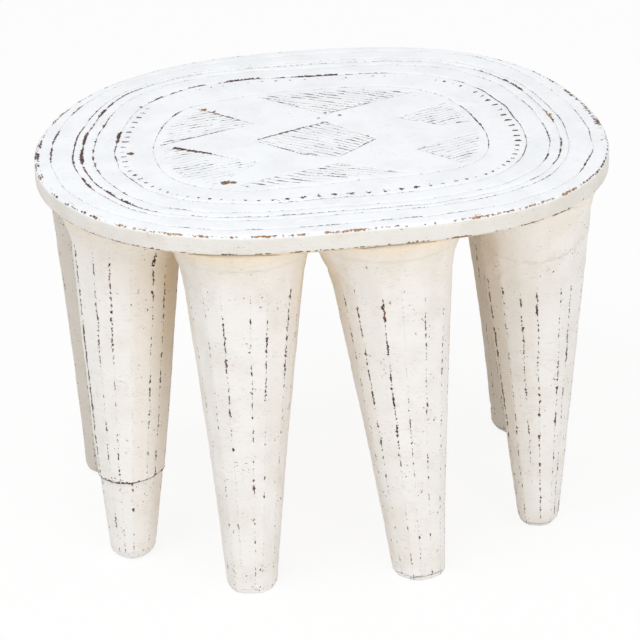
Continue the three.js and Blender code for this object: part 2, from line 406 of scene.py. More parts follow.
paints = {
    # The top and rim are one paint. The top's colours are painted lighter and cooler, and the rim's darker
    # and warmer: painted light on the top, painted shade on the rim.
    "seatFresh": srgb(246, 248, 251),
    "seatDull": srgb(240, 242, 245),
    "rimFresh": srgb(230, 227, 221),
    "rimDull": srgb(224, 219, 211),
    "legFresh": srgb(240, 237, 234),
    "legDull": srgb(234, 230, 224),
    # yellowed paint together with painted warm shade, where the stool's parts shade each other; the second is
    # a stronger painted shade
    "yellowedAndShaded": srgb(247, 222, 180),
    "deepShadeAndYellowing": srgb(228, 194, 144),
    # grime, and painted shade on the back legs
    "grimeAndShade": srgb(198, 186, 170),
    "seatScuff": srgb(214, 218, 224),
    "legScuff": srgb(204, 196, 186),
    "woodDark": srgb(52, 38, 35),
    "woodRubbed": srgb(124, 84, 66),
    "woodRust": srgb(160, 114, 80),
    "woodTan": srgb(208, 175, 138),
    "paintRoughness": 0.55,
    "woodRoughness": 0.8,
    "paintThickness": 0.35 * mm,
}


def offLines(tree, number, pitch):  # mm to the nearest of the lines that stand at whole numbers
    fraction = mathNode(tree, "FRACT", mathNode(tree, "ADD", number, 0.5))
    fraction = mathNode(tree, "SUBTRACT", fraction, 0.5)
    return mathNode(tree, "MULTIPLY", mathNode(tree, "ABSOLUTE", fraction), pitch)


def coat(tree, place, part, scuff, yellowingAndShade, scuffed):  # the paint of the seat's top, its rim or a leg
    return useGroup(tree, groups["paint"], Place=place, Fresh=paints[part + "Fresh"],
                    Dull=paints[part + "Dull"], Aged=paints["yellowedAndShaded"], Deep=paints["deepShadeAndYellowing"],
                    Scuff=paints[scuff], Shelter=yellowingAndShade, Scuffed=scuffed)["Color"]


def bareWood(tree, place, dark, rubbed):
    return useGroup(tree, groups["wood"], Place=place, Dark=paints[dark], Rubbed=paints[rubbed])["Color"]


def chipMask(tree, place):
    return useGroup(tree, groups["chips"], Place=place, Amount=attributeNode(tree, "chips"))["Mask"]


def finishSurface(material, shader, colour, bare, height):  # join the paint and bare wood in the shader
    tree = material.node_tree
    tree.links.new(colour, shader.inputs["Base Color"])
    rough = tree.nodes.new("ShaderNodeMapRange")
    tree.links.new(bare, rough.inputs["Value"])
    rough.inputs["To Min"].default_value = paints["paintRoughness"]
    rough.inputs["To Max"].default_value = paints["woodRoughness"]
    tree.links.new(rough.outputs["Result"], shader.inputs["Roughness"])
    bump = tree.nodes.new("ShaderNodeBump")
    bump.inputs["Strength"].default_value = 1
    bump.inputs["Distance"].default_value = paints["paintThickness"]
    tree.links.new(mathNode(tree, "SUBTRACT", height, bare), bump.inputs["Height"])
    tree.links.new(bump.outputs["Normal"], shader.inputs["Normal"])
    return material


def seatMaterial():
    material, shader = newMaterial("seatPaint")
    tree = material.node_tree
    place = placeNode(tree)
    split = tree.nodes.new("ShaderNodeSeparateXYZ")
    carving = tree.nodes.new("ShaderNodeUVMap")
    carving.uv_map = "carving"
    tree.links.new(carving.outputs["UV"], split.inputs[0])
    tick, inset = split.outputs["X"], split.outputs["Y"]
    distance = None
    for ring in rings:
        off = mathNode(tree, "ABSOLUTE", mathNode(tree, "SUBTRACT", inset, ring["inset"]))
        distance = off if distance is None else mathNode(tree, "MINIMUM", distance, off)
    # Short radial ticks, in their own band only
    middle = mathNode(tree, "SUBTRACT", inset, (ticks["from"] + ticks["to"]) / 2)
    beyond = mathNode(tree, "ABSOLUTE", middle)
    beyond = mathNode(tree, "SUBTRACT", beyond, attributeNode(tree, "tickLength"))
    beyond = mathNode(tree, "MAXIMUM", beyond, 0.0)
    tickOff = mathNode(tree, "ADD", offLines(tree, tick, ticks["pitch"]), beyond)
    distance = mathNode(tree, "MINIMUM", distance, tickOff)
    # Hatching: lines at whole numbers, inside the regions and round them
    line, region = attributeNode(tree, "hatch"), attributeNode(tree, "region")
    beyond = mathNode(tree, "MAXIMUM", mathNode(tree, "SUBTRACT", 0.5, region), 0.0)
    hatchOff = mathNode(tree, "ADD", offLines(tree, line, hatching["spacing"]), beyond)
    along = tree.nodes.new("ShaderNodeCombineXYZ")
    tree.links.new(mathNode(tree, "MULTIPLY", attributeNode(tree, "along"), 0.3 * mm), along.inputs["X"])
    tree.links.new(mathNode(tree, "MULTIPLY", mathNode(tree, "ROUND", line), 0.07), along.inputs["Y"])
    beyond = mathNode(tree, "MAXIMUM", mathNode(tree, "SUBTRACT", -1.0, region), 0.0)
    border = mathNode(tree, "ABSOLUTE", attributeNode(tree, "border"))
    distance = mathNode(tree, "MINIMUM", distance, mathNode(tree, "ADD", border, beyond))
    wear = attributeNode(tree, "wear")
    lines = useGroup(tree, groups["wornLine"], Place=place, Distance=distance, Wear=wear,
                     Width=attributeNode(tree, "lineWidth"), Crack=seat["crack"])["Mask"]
    hatch = useGroup(tree, groups["wornLine"], Place=along.outputs[0], Distance=hatchOff, Wear=wear,
                     Width=hatching["line"], Crack=hatching["crack"])["Mask"]
    rubbed = useGroup(tree, groups["wornLine"], Place=place, Distance=attributeNode(tree, "edge"),
                      Wear=attributeNode(tree, "edgeWear"), Width=rimWear["line"],
                      Crack=rimWear["crack"])["Mask"]
    blots = mathNode(tree, "MULTIPLY", noiseNode(tree, place, 420, 2), 0.8)
    blots = rampNode(tree, mathNode(tree, "ADD", blots, attributeNode(tree, "spots")), 0.8, 0.86)
    bare = chipMask(tree, place)
    for mask in (lines, hatch, rubbed, blots):
        bare = mathNode(tree, "MAXIMUM", bare, mask)
    side = attributeNode(tree, "side")
    # lighter, cooler colours on the top and darker, warmer ones on the rim: painted light and painted shade
    onTop = coat(tree, place, "seat", "seatScuff", 0.0, 0.35)
    onRim = coat(tree, place, "rim", "legScuff", attributeNode(tree, "yellowingAndShade"), 0.4)
    paint = mixNode(tree, side, onTop, onRim)
    dark = bareWood(tree, place, "woodDark", "woodRubbed")
    tan = bareWood(tree, place, "woodRust", "woodTan")
    wood = mixNode(tree, attributeNode(tree, "tan"), dark, tan)
    strokes = mathNode(tree, "MULTIPLY_ADD", side, 1.2, 0.1)
    marks = useGroup(tree, groups["brush"], Place=place, Strokes=strokes, Lumps=0.9)["Height"]
    return finishSurface(material, shader, mixNode(tree, bare, paint, wood), bare, marks)


def legMaterial():
    material, shader = newMaterial("legPaint")
    tree = material.node_tree
    place = placeNode(tree)
    lines = useGroup(tree, groups["wornLine"], Place=place, Distance=attributeNode(tree, "arris"),
                     Wear=attributeNode(tree, "wear"), Width=legShape["line"], Crack=legShape["crack"])
    broken = rampNode(tree, noiseNode(tree, place, 270, 2, 0.6), 0.42, 0.47)
    lines = mathNode(tree, "MULTIPLY", lines["Mask"], broken)
    bare = mathNode(tree, "MAXIMUM", lines, chipMask(tree, place))
    # yellowed paint and painted warm shade where the legs are sheltered
    paint = coat(tree, place, "leg", "legScuff", attributeNode(tree, "yellowingAndShade"), 0.45)
    # a whole leg darkened: grime, and painted shade on the back legs
    paint = mixNode(tree, attributeNode(tree, "grimeAndShade"), paint, paints["grimeAndShade"])
    wood = bareWood(tree, place, "woodDark", "woodRubbed")
    marks = useGroup(tree, groups["brush"], Place=place, Strokes=1.1, Lumps=1.0)["Height"]
    return finishSurface(material, shader, mixNode(tree, bare, paint, wood), bare, marks)


def pegMaterial():
    material, shader = newMaterial("pegWood")
    tree = material.node_tree
    place = placeNode(tree)
    wood = bareWood(tree, place, "woodRubbed", "woodTan")
    marks = useGroup(tree, groups["brush"], Place=place, Strokes=0.1, Lumps=0.3)["Height"]
    tree.links.new(wood, shader.inputs["Base Color"])
    shader.inputs["Roughness"].default_value = paints["woodRoughness"]
    bump = tree.nodes.new("ShaderNodeBump")
    bump.inputs["Distance"].default_value = paints["paintThickness"]
    tree.links.new(marks, bump.inputs["Height"])
    tree.links.new(bump.outputs["Normal"], shader.inputs["Normal"])
    return material


# Seat

seat = {
    "perSide": 6,  # new points for each side of the CAD outline
    "lowerRound": 2.0,
    "upperRound": 3.0,
    "rimHeight": 16.0,
    "loopGap": 3.6,  # widest gap between loops on the top
    "bandGap": 1.3,  # the same among the ticks
    "inside": 98.0,  # the loops stop here and a grid fills the middle
    "grid": 5.0,
    "finest": 1.25,  # edge length along the hatching
    "wander": 1.3,  # how far a cut strays
    "hollow": 0.35,  # unevenness of the top
    "rimDent": 0.7,  # unevenness of the rim
    "crack": 0.42,  # how far the paint is cracked along a line that is not worn
    "chips": {"top": -0.01, "edge": 0.02, "rim": 0.04},  # how chipped the paint is
}
# Ring cuts: inset from the rim, half width, depth, and how worn they are. A stroke is a worn stretch:
# from and to in degrees round the seat, how much more it is worn, and how wide where not fine.
rings = [
    {"inset": 13.5, "half": 1.3, "depth": 0.7, "wear": -0.1, "strokes": [
        (148, 157, 0.8, 0.85), (168, 175, 0.9, 1.05), (177, 184, 0.9, 1.05), (234, 240, 0.6),
        (247, 253, 0.6, 0.6), (260, 272, 0.65, 0.7), (277, 288, 0.7, 0.7), (290, 304, 0.45),
        (329, 341, 0.65, 0.7), (346, 364, 0.5), (35, 50, 0.5)]},
    {"inset": 31.5, "half": 1.3, "depth": 0.8, "wear": 0.0, "strokes": [
        (101, 123, 0.35), (149, 160, 0.65, 0.7), (163, 192, 0.75, 0.75), (196, 204, 1.0, 1.1),
        (206, 213, 0.5), (214, 222, 0.65, 0.7), (262, 276, 0.4), (284, 330, 0.45), (353, 379, 0.6, 0.6)]},
    {"inset": 38.0, "half": 1.7, "depth": 1.1, "wear": 0.05, "strokes": [
        (55, 90, 0.5), (90, 137, 0.65), (137, 145, 0.8, 0.8), (145, 151, 1.0, 1.1),
        (152, 157, 1.1, 1.6), (158, 166, 0.7, 0.7), (168, 176, 0.95, 1.2), (176, 181, 0.9, 1.0),
        (181, 187, 1.1, 1.6), (190, 198, 0.8, 0.8), (200, 205, 0.9, 0.9), (206, 211, 1.1, 1.3),
        (211, 217, 1.15, 1.6), (218, 224, 0.7, 0.7), (232, 305, 0.65, 0.55), (331, 347, 0.7, 0.8),
        (358, 366, 0.8, 1.0), (7, 17, 0.5), (20, 30, 0.8, 1.3), (31, 41, 0.6, 0.6)]},
    {"inset": 47.0, "half": 1.4, "depth": 0.8, "wear": 0.0, "strokes": [
        (154, 161, 0.7, 0.8), (161, 165, 0.9, 1.1), (166, 170, 0.8, 0.9), (172, 174, 0.9, 1.1),
        (175.5, 177, 0.8, 1.0), (179, 181, 0.9, 1.1), (184, 186, 0.9, 1.2), (189, 191, 0.9, 1.3),
        (193, 195, 1.0, 1.5), (204, 205.5, 0.9, 1.4), (210, 211.5, 0.9, 1.4), (224, 230, 0.5, 0.7),
        (333, 339, 0.6, 0.9), (344, 357, 0.5, 0.8), (6, 14, 0.5, 0.7)]},
    {"inset": 64.5, "half": 1.7, "depth": 1.1, "wear": 0.05, "strokes": [
        (59, 76, 0.6, 0.8), (77, 93, 1.2, 1.7), (95, 98, 0.8, 1.2), (104, 116, 1.2, 1.7),
        (117, 119, 0.8, 1.2), (122, 127, 1.0, 1.3), (130, 134, 0.6, 0.9), (137, 143, 0.8, 1.1),
        (167, 176, 1.0, 1.55), (176, 189, 0.5, 0.7), (197, 210, 0.5), (255, 298, 0.45), (329, 350, 0.6),
        (353, 390, 0.9, 0.55), (34, 39, 0.9, 0.7), (39, 45, 0.4)]},
    {"inset": 94.5, "half": 1.3, "depth": 0.7, "wear": 0.0, "strokes": [
        (145, 152, 0.7, 0.8), (156, 167, 0.6, 0.6), (338, 358, 0.7), (358, 366, 0.7, 0.8),
        (6, 20, 0.6, 0.6)]},
]
fineLine = 0.5  # half width of a worn line where no other is given
# The rings were laid out by eye and drift from the rim's line: mm inwards, by degrees round the seat.
drift = {
    "angles": [
        0, 20, 30, 40, 50, 62, 78, 90, 100, 112, 120, 130, 140,
        148, 158, 168, 200, 212, 224, 236, 250, 262, 276, 290, 310, 340],
    3.0: 0,
    13.5: [
        0, 0, -2, -6, -7, -3, 0, 0, 0, -2, -3, -4, -6,
        -5, -2, 0, 0, 0, 0, 0, 0, 0, 0, 0, 0, 0],
    38.0: [
        -1.5, -3, -5, -6, -7, -4, -2, -2, -4, -7, -10, -12, -11,
        -8, -3, 0, 0, -3, -4, -2, 0, 0, 0, -1, 0, 0],
    69.0: [
        -0.5, -2, -3.5, -2.5, -1, -1, 1, 0, -3, -6, -9, -10, -9,
        -9, -4, 0, 0, -1, -1, 0, -2, 0, 0, -2, 0.5, 1.5],
    94.5: [
        0, 0, 0, 0, 0, 0, 0, 0, 0, 0, 1, 0, -6,
        -5, -3, 0, 0, -5, -6, -8, -5, -4, 0, 0, 0, 0],
    128.0: 0,
}
# The tick marks' widths go from narrow strokes at the sides to broad dabs at the front.
ticks = {
    "from": 68.6,
    "to": 72.6,
    "longer": 1.6,  # they reach this much further at the stool's two ends
    "count": 92,
    "pitch": 10.6,
    "half": 2.3,
    "depth": 0.8,
    "wear": -0.15,
    "strokes": [
        (145, 205, 0.95, 1.3), (205, 248, 0.75, 1.8), (248, 300, 1.15, 2.6), (300, 335, 0.75, 2.0),
        (335, 372, 1.15, 1.3), (12, 45, 0.8, 1.5), (60, 130, 0.6, 1.4)],
}
# Hatched regions: corners in mm, the hatching's angle, its wear, and the wear of the border.
hatching = {
    "spacing": 4.8,
    "half": 0.95,
    "depth": 0.65,
    "line": 0.66,  # half width of a worn line
    "crack": 0.52,
    "borderHalf": 1.1,
    "borderDepth": 0.9,
    "outer": 101.0,  # the outer regions end this far in from the rim
    "regions": [
        {"angle": -38, "wear": 0.3, "border": 0.0,
         "corners": [(-51, -3), (9, 26), (44, -17), (12, -50), (-16, -38)]},
        {"angle": 14, "wear": 0.25, "border": 0.1,
         "corners": [(-48, 33), (-110, 94), (-150, 60), (-143, -6)]},
        {"angle": 16, "wear": 0.02, "border": -0.3,
         "corners": [(-52, -49), (-128, 2), (-150, -60), (-92, -90)]},
        {"angle": 22, "wear": 0.3, "border": 0.2,
         "corners": [(68, 24), (126, 59), (160, 40), (135, 8), (100, 2)]},
        {"angle": 22, "wear": 0.2, "border": 0.0,
         "corners": [(74, -45), (116, -92), (160, -60), (135, -15)]},
        {"angle": -30, "wear": 0.38, "border": 0.05,
         "corners": [(11, 43), (-48, 101), (0, 140), (90, 80)]},
        {"angle": -24, "wear": 0.35, "border": 0.0,
         "corners": [(8, -62), (-66, -88), (0, -140), (80, -104)]},
    ],
    # Worn stretches: their two ends, how far they reach sideways, how much more worn, and how wide a line.
    "strokes": [
        ((-47, 1), (3, 21), 3, 1.0, 0.9), ((3, 21), (10, 26), 3, 0.7, 0.8),
        ((-86, 74), (-60, 42), 3, 0.95, 0.95), ((-126, 2), (-72, 22), 3, 0.75, 0.7),
        ((-114, -8), (-88, -23), 3.5, 1.5, 2.3), ((-84, -26), (-72, -34), 3, 0.6, 0.8),
        ((-48, -9), (-17, -37), 3, 0.8, 0.8), ((-16, -38), (-6, -42), 3, 0.7, 0.8),
        ((19, -27), (37, -15), 12, 0.35, 0.8), ((13, -30), (25, -39), 5, 0.6, 0.9),
        ((-37, 87), (-5, 67), 3, 0.5, 0.7), ((14, 44), (60, 70), 3, 0.35, 0.8),
        ((-30, 96), (20, 84), 12, 0.2, 0.74),
    ],
}
# Spots without paint: place, radius and strength, and how tan where not dark.
spots = [
    (-78, -82, 3.6, 0.7, 0.35), (-72, -83, 2.8, 0.6, 0.35), (-83, 70, 2.6, 0.6, 0.6),
    (-77, 64, 2.2, 0.5, 0.6), (187, 8, 3.0, 0.6, 0.8), (184, 19, 2.4, 0.5, 0.8),
    (-150, -12, 3.4, 0.7, 0.2), (-122, 2, 1.6, 0.4), (-205, 80, 2.5, 0.4), (-109, -65, 1.5, 0.4),
    (16, 55, 1.8, 0.5), (11, 46, 1.6, 0.5), (4, 35, 2.0, 0.5), (22, 38, 1.7, 0.6), (41, 60, 1.6, 0.5),
    (16, -43, 1.4, 0.4), (-128, 84, 2.0, 0.5), (-70, 136, 1.5, 0.4), (180, 128, 2.0, 0.5),
    (-55, -47, 1.4, 0.4), (49, -14, 1.6, 0.4), (-148, -58, 1.6, 0.4), (4, -63, 1.2, 0.4),
    (150, -60, 1.5, 0.4),
]
# Worn lines along the rim's edges: where they run, and their worn stretches. A stretch's last number
# says how tan its wood is.
rimWear = {"line": 1.1, "crack": 0.3}
rimLines = [
    {"inset": 0.9, "below": 0.9, "stray": 0, "wear": -0.12, "strokes": [  # the upper edge
        (18, 30, 0.5, 0.0), (33, 50, 0.2, 0.0), (60, 130, 0.12, 0.0), (131, 146, 0.4, 0.1),
        (149, 166, 0.75, 0.2), (170, 183, 0.6, 0.0), (185.5, 188, 0.9, 0.1), (191, 193.5, 0.95, 0.4),
        (196, 199, 0.3, 0.0), (200, 202.5, 0.9, 0.0), (205, 207, 1.1, 0.0), (208, 211, 0.5, 0.2),
        (211.5, 213.5, 1.15, 0.1), (214.5, 217, 1.2, 0.2), (218, 220, 0.7, 0.6), (221, 224, 0.95, 0.9),
        (225, 229, 0.8, 1.0), (230, 236, 0.9, 1.0), (238, 242, 0.95, 1.0), (244, 249, 0.6, 0.9),
        (250, 256, 0.85, 0.9), (257, 262, 0.8, 1.0), (264, 276, 0.85, 1.0), (279, 285, 0.3, 0.4),
        (286, 291, 0.5, 0.2), (293, 303, 0.85, 0.9), (306, 316, 0.8, 1.0), (317, 324, 0.85, 0.9),
        (326, 340, 0.7, 0.3), (342, 352, 0.6, 0.1), (354, 372, 0.7, 0.3)]},
    {"inset": 0.3, "below": 15.6, "stray": 0, "wear": -0.05, "strokes": [  # the lower edge
        (192, 226, 0.7, 0.4), (226, 234, 0.6, 0.2), (235, 246, 0.45, 0.1), (248, 256, 0.55, 0.3),
        (258, 280, 0.75, 0.4), (283, 288, 1.3, 0.5), (291, 298, 1.1, 0.4), (301, 305, 0.9, 0.2),
        (307, 312, 1.0, 0.3), (315, 320, 1.3, 0.2), (323, 340, 0.35, 0.0)]},
    {"inset": 3.0, "below": 0, "stray": 1.0, "wear": -0.5, "strokes": [  # the crest, seen on the far side
        (-8, 16, 1.0, 0.2), (18, 30, 0.95, 0.1), (33, 48, 0.8, 0.0), (90, 130, 0.55, 0.0),
        (131, 150, 0.65, 0.1), (155, 164, 1.4, 0.3), (167, 184, 1.05, 0.0), (186, 188, 1.0, 0.1),
        (191, 193, 1.0, 0.4), (195, 200, 0.3, 0.0), (205, 222, 0.4, 0.0)]},
    {"inset": 5.0, "below": 0, "stray": 0.8, "wear": -0.6, "strokes": [  # a second line at the right end
        (345, 385, 0.8, 0.0), (325, 338, 0.5, 0.0), (172, 192, 0.5, 0.0), (206, 235, 0.5, 0.0)]},
]


def smoothOutline(points, count):  # a smooth closed line through the points, and its inward directions
    order = np.argsort(np.arctan2(points[:, 1], points[:, 0]))
    waves = np.fft.fft(points[order, 0] + 1j * points[order, 1])
    half = len(points) // 2
    padded = np.zeros(count, complex)
    padded[:half] = waves[:half]
    padded[-half:] = waves[-half:]
    line = np.fft.ifft(padded) * count / len(points)
    along = np.fft.ifft(padded * 1j * np.fft.fftfreq(count, 1 / count))
    return line, 1j * along / np.abs(along)


def loopInsets():  # where the loops run on the top: close together across each cut
    stops = [ring["inset"] + ring["half"] * k for ring in rings for k in (-1, -0.6, -0.3, 0, 0.3, 0.6, 1)]
    stops = sorted(stops + [ticks["from"] - 1, ticks["to"] + 1, seat["inside"]])
    insets = [seat["upperRound"]]
    for stop in stops:
        inBand = ticks["from"] - 1 <= insets[-1] < ticks["to"] + 1
        count = math.ceil((stop - insets[-1]) / (seat["bandGap"] if inBand else seat["loopGap"]))
        insets += [insets[-1] + (stop - insets[-1]) * (i + 1) / count for i in range(count)]
    return insets[1:]


def seatProfile(top):  # the rim's loops as inset and height, from its lower edge up over the worn corner
    low, high = seat["lowerRound"], seat["upperRound"]
    bottom = top - seat["rimHeight"]
    turns = [math.radians(a) for a in (30, 60, 90)]
    loops = [(low * (1 - math.sin(t)), bottom + low * (1 - math.cos(t))) for t in turns]
    steps = 5
    start, end = bottom + low, top - high
    loops += [(0, start + (end - start) * (i + 1) / steps) for i in range(steps)]
    turns = [math.radians(a) for a in (18, 36, 54, 72, 90)]
    loops += [(high * (1 - math.cos(t)), end + high * math.sin(t)) for t in turns]
    return loops + [(inset, top) for inset in loopInsets()]


# The hatching's line number, mm into the region, mm into its straight edges, which region, and mm along.
def regionValues(points, insets):
    best = np.full(len(points), -1e9)
    which = np.zeros(len(points), int)
    number, along, border = np.zeros(len(points)), np.zeros(len(points)), np.zeros(len(points))
    for k, region in enumerate(hatching["regions"]):
        corners = np.array(region["corners"], float)
        middle = corners.mean(0)
        straight = np.full(len(points), 1e9)
        for a, b in zip(corners, np.roll(corners, -1, 0)):
            across = np.array([a[1] - b[1], b[0] - a[0]]) / np.hypot(*(b - a))
            across = across * np.sign((middle - a) @ across)
            straight = np.minimum(straight, (points[:, :2] - a) @ across)
        inside = np.minimum(straight, insets - hatching["outer"])
        angle = math.radians(region["angle"])
        cosine, sine = math.cos(angle), math.sin(angle)
        line = (points[:, :2] - corners[0]) @ np.array([-sine, cosine]) / hatching["spacing"]
        nearer = inside > best
        best = np.where(nearer, inside, best)
        which = np.where(nearer, k, which)
        border = np.where(nearer, straight, border)
        number = np.where(nearer, line + 0.5, number)
        along = np.where(nearer, points[:, :2] @ np.array([cosine, sine]) + 97 * k, along)
    number += 0.3 * bumps(points, 17, 5) + 0.12 * bumps(points, 6, 7)
    return number, best, border, which, along


def hatchDistance(number, inside):  # how far the nearest hatching or border cut is
    across = np.abs(number - np.round(number)) * hatching["spacing"] + np.maximum(-inside, 0) * 3
    return np.minimum(across, np.abs(inside))


def driftOf(angles, insets):  # how far the carving is moved inwards here
    knots = [k for k in drift if k != "angles"]
    shifts = (-5, -2.5, 0, 2.5, 5)  # a mean over these degrees rounds the row's corners
    amounts = []
    for knot in knots:
        row = np.broadcast_to(drift[knot], len(drift["angles"]))
        turns = [np.interp(angles + shift, drift["angles"], row, period=360) for shift in shifts]
        amounts.append(sum(turns) / len(turns))
    total = amounts[0]
    for low, high, before, after in zip(knots, knots[1:], amounts, amounts[1:]):
        total = total + (after - before) * np.clip((insets - low) / (high - low), 0, 1)
    return total


def rimPlaces(points, outline):  # mm in from the rim, and the place round it, from 0 to 1
    tree = kdtree.KDTree(len(outline))
    for i, p in enumerate(outline):
        tree.insert((p.real, p.imag, 0), i)
    tree.balance()
    found = [tree.find((x, y, 0)) for x, y, _ in points]
    return np.array([f[2] for f in found]), np.array([f[1] for f in found]) / len(outline)


def strokeValues(angles, strokes, soft=1.5):  # how worn it is here, and the stretch's last number
    value, other = np.zeros(len(angles)), np.full(len(angles), fineLine)
    for start, end, strength, *last in strokes:
        for turn in (-360, 0, 360):
            at = angles + turn
            here = ease(at, start - soft, start + soft) * ease(-at, -end - soft, -end + soft)
            value = np.maximum(value, strength * here)
            other = np.where(here > 0.3, last[0] if last else fineLine, other)
    return value, other


def buildSeatMesh():
    bm = nodeMesh("seat")
    low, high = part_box("seat")
    top = high.z / mm
    lowerEdge = (top - seat["rimHeight"]) * mm
    widest = lowerEdge + seat["lowerRound"] * mm
    rim = np.array([v.co[:2] for v in bm.verts if abs(v.co.z - widest) < 0.05 * mm]) / mm
    sides = len(rim)
    count = sides * seat["perSide"]
    outline, inward = smoothOutline(rim, count)
    # Only the CAD's underside and mortises stay; the rest grows up from the rim's lower edge.
    upper = [f for f in bm.faces if f.normal.z > -0.9
             and min(v.co.z for v in f.verts) > lowerEdge - 0.01 * mm]
    bmesh.ops.delete(bm, geom=upper, context="FACES")
    edges = [e for e in bm.edges if e.is_boundary]
    bmesh.ops.subdivide_edges(bm, edges=edges, cuts=seat["perSide"] - 1)
    column = bm.verts.layers.int.new("column")
    start = outline + inward * seat["lowerRound"]
    edges = [e for e in bm.edges if e.is_boundary]
    for v in {v for e in edges for v in e.verts}:
        v[column] = int(np.argmin(np.abs(start - complex(v.co.x / mm, v.co.y / mm))))
        at = start[v[column]]
        v.co = (at.real * mm, at.imag * mm, lowerEdge)
    for inset, z in seatProfile(top):
        loop = outline + inward * inset
        made = bmesh.ops.extrude_edge_only(bm, edges=edges)["geom"]
        for v in (g for g in made if isinstance(g, bmesh.types.BMVert)):
            at = loop[v[column]]
            v.co = (at.real * mm, at.imag * mm, z * mm)
        edges = [g for g in made if isinstance(g, bmesh.types.BMEdge) and g.is_boundary]
    # Finer columns among the ticks
    fine, _ = smoothOutline(rim, count * 4)
    points = pointsOf(bm)
    insets, _ = rimPlaces(points, fine)
    bm.verts.index_update()
    band = (points[:, 2] > top - 0.01) & (insets > ticks["from"] - 0.9) & (insets < ticks["to"] + 0.9)
    across = [e for e in bm.edges if all(band[v.index] for v in e.verts)
              and abs(insets[e.verts[0].index] - insets[e.verts[1].index]) < 0.1]
    bmesh.ops.subdivide_edges(bm, edges=across, cuts=1)
    fillMiddle(bm, top, fine)
    bmesh.ops.triangulate(bm, faces=bm.faces)
    bmesh.ops.recalc_face_normals(bm, faces=bm.faces)
    return bm, fine, top


def fillMiddle(bm, top, outline):  # a flat cap, cut into a grid and then finer along the hatching
    middle = bm.faces.layers.int.new("middle")
    edges = [e for e in bm.edges if e.is_boundary]
    cap = bmesh.ops.contextual_create(bm, geom=edges)["faces"][0]
    cap[middle] = 1
    low = Vector(map(min, *[v.co for v in cap.verts]))
    high = Vector(map(max, *[v.co for v in cap.verts]))
    for axis in (0, 1):
        normal = Vector((axis == 0, axis == 1, 0))
        cut = low[axis] + 0.4 * seat["grid"] * mm
        while cut < high[axis]:
            faces = [f for f in bm.faces if f[middle]]
            geom = faces + list({e for f in faces for e in f.edges})
            geom += list({v for f in faces for v in f.verts})
            place = normal * cut
            bmesh.ops.bisect_plane(bm, geom=geom, dist=0.001 * mm, plane_co=place, plane_no=normal)
            cut += seat["grid"] * mm
    bmesh.ops.triangulate(bm, faces=[f for f in bm.faces if f[middle]])
    for longest in (3.2, 2.0, seat["finest"]):
        edges = [e for e in bm.edges if all(f[middle] for f in e.link_faces)
                 and e.calc_length() > longest * mm]
        ends = np.array([(e.verts[0].co + e.verts[1].co) / 2 for e in edges]) / mm
        insets, _ = rimPlaces(ends, outline)
        number, inside, *_ = regionValues(ends, insets)
        near = hatchDistance(number, inside) < 1.1 + longest * 0.7
        for x, y, radius, *_ in spots:
            near |= np.hypot(ends[:, 0] - x, ends[:, 1] - y) < radius + longest * 0.7
        splitEdges(bm, [e for e, wanted in zip(edges, near) if wanted])


# Each of these three gives the depth of its cuts, how worn they are, and the half width of a worn line.
def ringCuts(insets, angles, uneven):
    depth, wear, width = np.zeros(len(insets)), np.full(len(insets), -1.0), np.ones(len(insets))
    nearest = np.full(len(insets), 1e9)
    for ring in rings:
        off = np.abs(insets - ring["inset"])
        depth = np.maximum(depth, ring["depth"] * groove(off, ring["half"]) * uneven)
        value, across = strokeValues(angles, ring["strokes"])
        wear = np.where(off < nearest, ring["wear"] + value, wear)
        width = np.where(off < nearest, across, width)
        nearest = np.minimum(off, nearest)
    return depth, wear, width


def tickCuts(points, insets, angles, tick, uneven):  # and where the ticks are, and how much longer here
    length = ticks["longer"] * np.cos(np.radians(angles)) ** 4
    off = np.abs(insets - (ticks["from"] + ticks["to"]) / 2)
    inBand = ease(length + ticks["half"] - off, -0.6, 0.6)
    cut = groove((tick - np.round(tick)) * ticks["pitch"], ticks["half"]) * inBand
    value, width = strokeValues(angles, ticks["strokes"], 5)
    wear = ticks["wear"] + value + 0.3 * bumps(points, 20, 8)
    return ticks["depth"] * cut * uneven, wear, width, off < length + ticks["half"] + 0.7, length


def hatchCuts(points, number, inside, border, which, uneven):
    across = np.abs(number - np.round(number)) * hatching["spacing"]
    depth = hatching["depth"] * groove(across, hatching["half"]) * ease(inside, 0, 1.2)
    borderOff = np.abs(border) + np.maximum(-inside - 1, 0)
    depth = np.maximum(depth, hatching["borderDepth"] * groove(borderOff, hatching["borderHalf"])) * uneven
    wear = np.array([r["wear"] for r in hatching["regions"]])[which] + 0.45 * bumps(points, 20, 11)
    borderWear = np.array([r["border"] for r in hatching["regions"]])[which]
    wear = np.where(inside > 1.6, wear, borderWear)
    width = np.full(len(points), hatching["line"])
    for a, b, reach, strength, across in hatching["strokes"]:
        a, b = np.array(a, float), np.array(b, float)
        t = np.clip((points[:, :2] - a) @ (b - a) / ((b - a) @ (b - a)), 0, 1)
        off = np.hypot(*(points[:, :2] - a - t[:, None] * (b - a)).T)
        wear = wear + strength * ease(-off, -reach, -reach * 0.4)
        width = np.where(off < reach * 0.8, across, width)
    return depth, wear, width


def spotValues(points):  # how bare the spots are, and how tan their wood is
    bare, tan = np.zeros(len(points)), np.zeros(len(points))
    for x, y, radius, strength, *tanness in spots:
        off = np.hypot(points[:, 0] - x, points[:, 1] - y)
        bare = np.maximum(bare, strength * ease(-off, -radius * 1.6, -radius * 0.5))
        if tanness:
            tan = np.where(off < radius * 2, tanness[0], tan)
    return bare, tan


